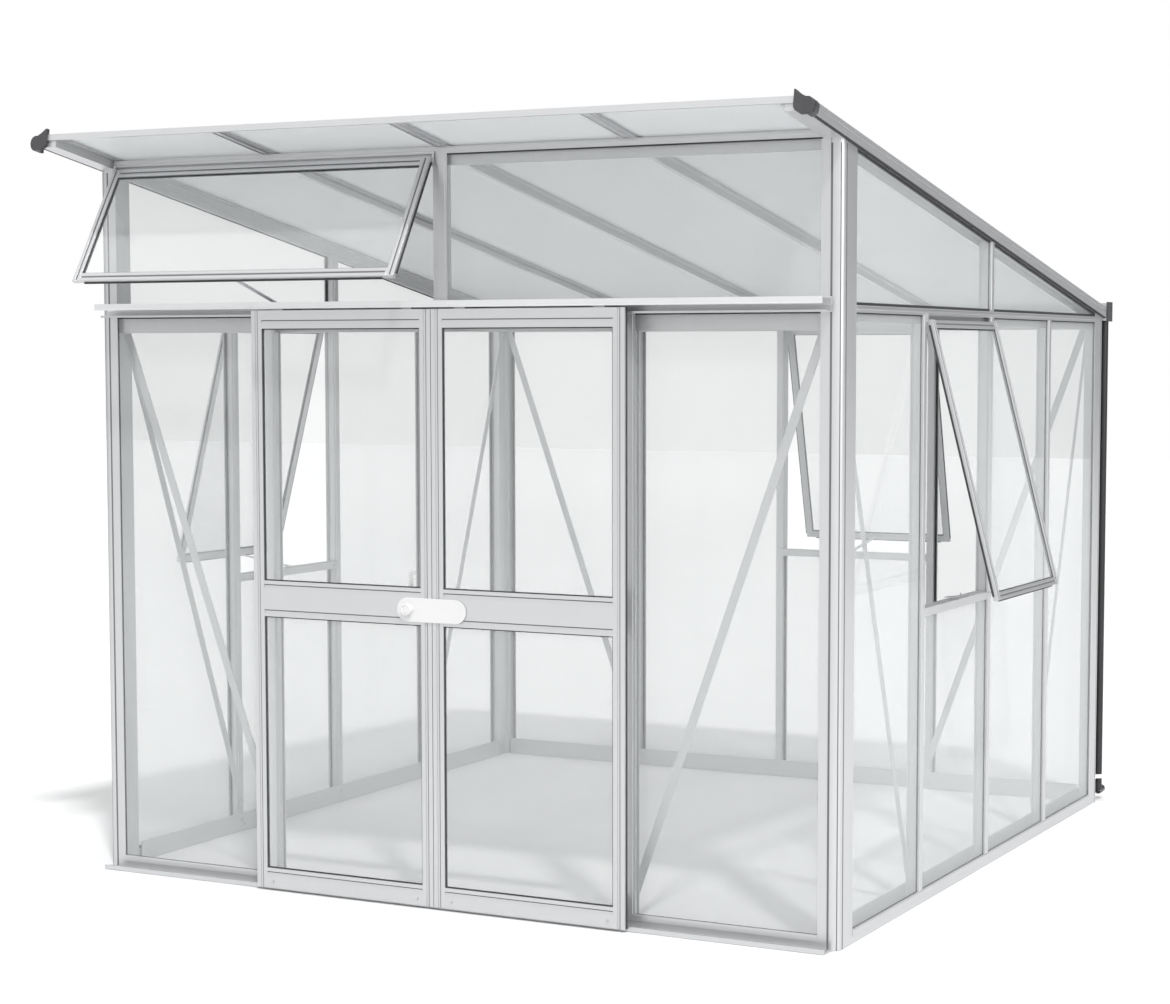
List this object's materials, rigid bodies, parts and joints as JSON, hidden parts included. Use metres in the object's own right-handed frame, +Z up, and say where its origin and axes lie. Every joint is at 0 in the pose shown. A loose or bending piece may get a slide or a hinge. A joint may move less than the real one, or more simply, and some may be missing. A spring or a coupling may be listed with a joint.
{
  "type": "lean-to greenhouse",
  "caption": "Walk-in glazed greenhouse with a roof sloping to the back, sliding double doors on the high front, top-hung vents and a gutter.",
  "frame": {"origin": "on the ground at the middle of the footprint, which is the centre of the four anchor holes", "axes": "+X to the right seen from the front, +Y to the back, +Z up"},
  "size_m": [3.0036, 3.0817, 2.3473],
  "materials": {
    "frame_aluminium": "satin anodised",
    "clear_glass": "clear",
    "roof_sheet": "frosted translucent",
    "dark_plastic": "matt",
    "black_plastic": "semi-gloss",
    "white_plastic": "matt",
    "steel_fastener": "zinc plated",
    "roller_plastic": "matt nylon",
    "lock_white": "powder coated"
  },
  "bodies": {
    "frame": {"wall_sills": "frame_aluminium", "front_sill": "frame_aluminium", "door_bottom_track": "frame_aluminium", "front_corner_posts": "frame_aluminium", "back_corner_posts": "frame_aluminium", "wall_studs": "frame_aluminium", "door_jambs": "frame_aluminium", "door_head_beam": "frame_aluminium", "door_hood": "frame_aluminium", "door_roller_track": "frame_aluminium", "front_top_beam": "frame_aluminium", "clerestory_mullion": "frame_aluminium", "gable_rails": "frame_aluminium", "gable_king_posts": "frame_aluminium", "eave_beam": "frame_aluminium", "gutter": "frame_aluminium", "end_rafters": "frame_aluminium", "middle_rafters": "frame_aluminium", "roof_fascia": "frame_aluminium", "wall_braces": "frame_aluminium", "vent_sills": "frame_aluminium", "roof_panels": "roof_sheet", "plastic_end_caps": "dark_plastic", "downpipe": "black_plastic", "downpipe_clip": "white_plastic", "downpipe_shoe": "black_plastic", "left_wall_glass": "clear_glass", "right_wall_glass": "clear_glass", "back_wall_glass": "clear_glass", "front_wall_glass": "clear_glass", "frame_bolts": "steel_fastener", "stay_pegs": "steel_fastener", "vent_hinge_ears": "frame_aluminium"},
    "door_left": {"door_left_bars": "frame_aluminium", "door_left_glass": "clear_glass", "door_left_hangers": "steel_fastener", "door_left_guides": "steel_fastener", "lock_plate": "lock_white"},
    "door_right": {"door_right_bars": "frame_aluminium", "door_right_glass": "clear_glass", "door_right_hangers": "steel_fastener", "door_right_guides": "steel_fastener", "lock_strike": "steel_fastener"},
    "lock": {"lock_knob": "lock_white"},
    "roller_left_inner": {"roller_left_inner": "roller_plastic"},
    "roller_left_outer": {"roller_left_outer": "roller_plastic"},
    "roller_right_inner": {"roller_right_inner": "roller_plastic"},
    "roller_right_outer": {"roller_right_outer": "roller_plastic"},
    "awning_vent": {"awning_vent_bars": "frame_aluminium", "awning_vent_glass": "clear_glass"},
    "awning_vent_stay": {"awning_vent_stay": "steel_fastener"},
    "left_vent": {"left_vent_bars": "frame_aluminium", "left_vent_glass": "clear_glass"},
    "left_vent_stay": {"left_vent_stay": "steel_fastener"},
    "right_vent": {"right_vent_bars": "frame_aluminium", "right_vent_glass": "clear_glass"},
    "right_vent_stay": {"right_vent_stay": "steel_fastener"},
    "back_vent": {"back_vent_bars": "frame_aluminium", "back_vent_glass": "clear_glass"},
    "back_vent_stay": {"back_vent_stay": "steel_fastener"}
  },
  "joints": [
    {"name": "door_left_slide", "type": "slide", "parent": "frame", "child": "door_left", "axis": [-1, 0, 0], "range_m": [0, 0.6]},
    {"name": "door_right_slide", "type": "slide", "parent": "frame", "child": "door_right", "axis": [1, 0, 0], "range_m": [0, 0.6]},
    {"name": "roller_left_inner_spin", "type": "hinge", "parent": "door_left", "child": "roller_left_inner", "pos_m": [-0.091, -1.311, 1.7844], "axis": [0, 1, 0], "continuous": true},
    {"name": "roller_left_outer_spin", "type": "hinge", "parent": "door_left", "child": "roller_left_outer", "pos_m": [-0.55, -1.311, 1.7844], "axis": [0, 1, 0], "continuous": true},
    {"name": "roller_right_inner_spin", "type": "hinge", "parent": "door_right", "child": "roller_right_inner", "pos_m": [0.091, -1.311, 1.7844], "axis": [0, 1, 0], "continuous": true},
    {"name": "roller_right_outer_spin", "type": "hinge", "parent": "door_right", "child": "roller_right_outer", "pos_m": [0.55, -1.311, 1.7844], "axis": [0, 1, 0], "continuous": true},
    {"name": "lock_turn", "type": "hinge", "parent": "door_left", "child": "lock", "pos_m": [-0.083, -1.34, 0.899], "axis": [0, 1, 0], "range_deg": [0, 90]},
    {"name": "awning_vent_hinge", "type": "hinge", "parent": "frame", "child": "awning_vent", "pos_m": [-0.6134, -1.2834, 2.231], "axis": [-1, 0, 0], "range_deg": [-30.5, 0]},
    {"name": "awning_vent_stay_turn", "type": "hinge", "parent": "awning_vent", "child": "awning_vent_stay", "pos_m": [-0.6134, -1.47937, 1.88452], "axis": [1, 0, 0], "range_deg": [0, 60]},
    {"name": "left_vent_hinge", "type": "hinge", "parent": "frame", "child": "left_vent", "pos_m": [-1.2734, -0.31, 1.757], "axis": [0, 1, 0], "range_deg": [-14.5, 0]},
    {"name": "left_vent_stay_turn", "type": "hinge", "parent": "left_vent", "child": "left_vent_stay", "pos_m": [-1.47744, -0.31, 0.94007], "axis": [0, -1, 0], "range_deg": [0, 60]},
    {"name": "right_vent_hinge", "type": "hinge", "parent": "frame", "child": "right_vent", "pos_m": [1.2734, -0.31, 1.757], "axis": [0, -1, 0], "range_deg": [-14.5, 0]},
    {"name": "right_vent_stay_turn", "type": "hinge", "parent": "right_vent", "child": "right_vent_stay", "pos_m": [1.47744, -0.31, 0.94007], "axis": [0, 1, 0], "range_deg": [0, 60]},
    {"name": "back_vent_hinge", "type": "hinge", "parent": "frame", "child": "back_vent", "pos_m": [0.31, 1.2834, 1.757], "axis": [1, 0, 0], "range_deg": [-14.5, 0]},
    {"name": "back_vent_stay_turn", "type": "hinge", "parent": "back_vent", "child": "back_vent_stay", "pos_m": [0.31, 1.48744, 0.94007], "axis": [-1, 0, 0], "range_deg": [0, 60]}
  ]
}
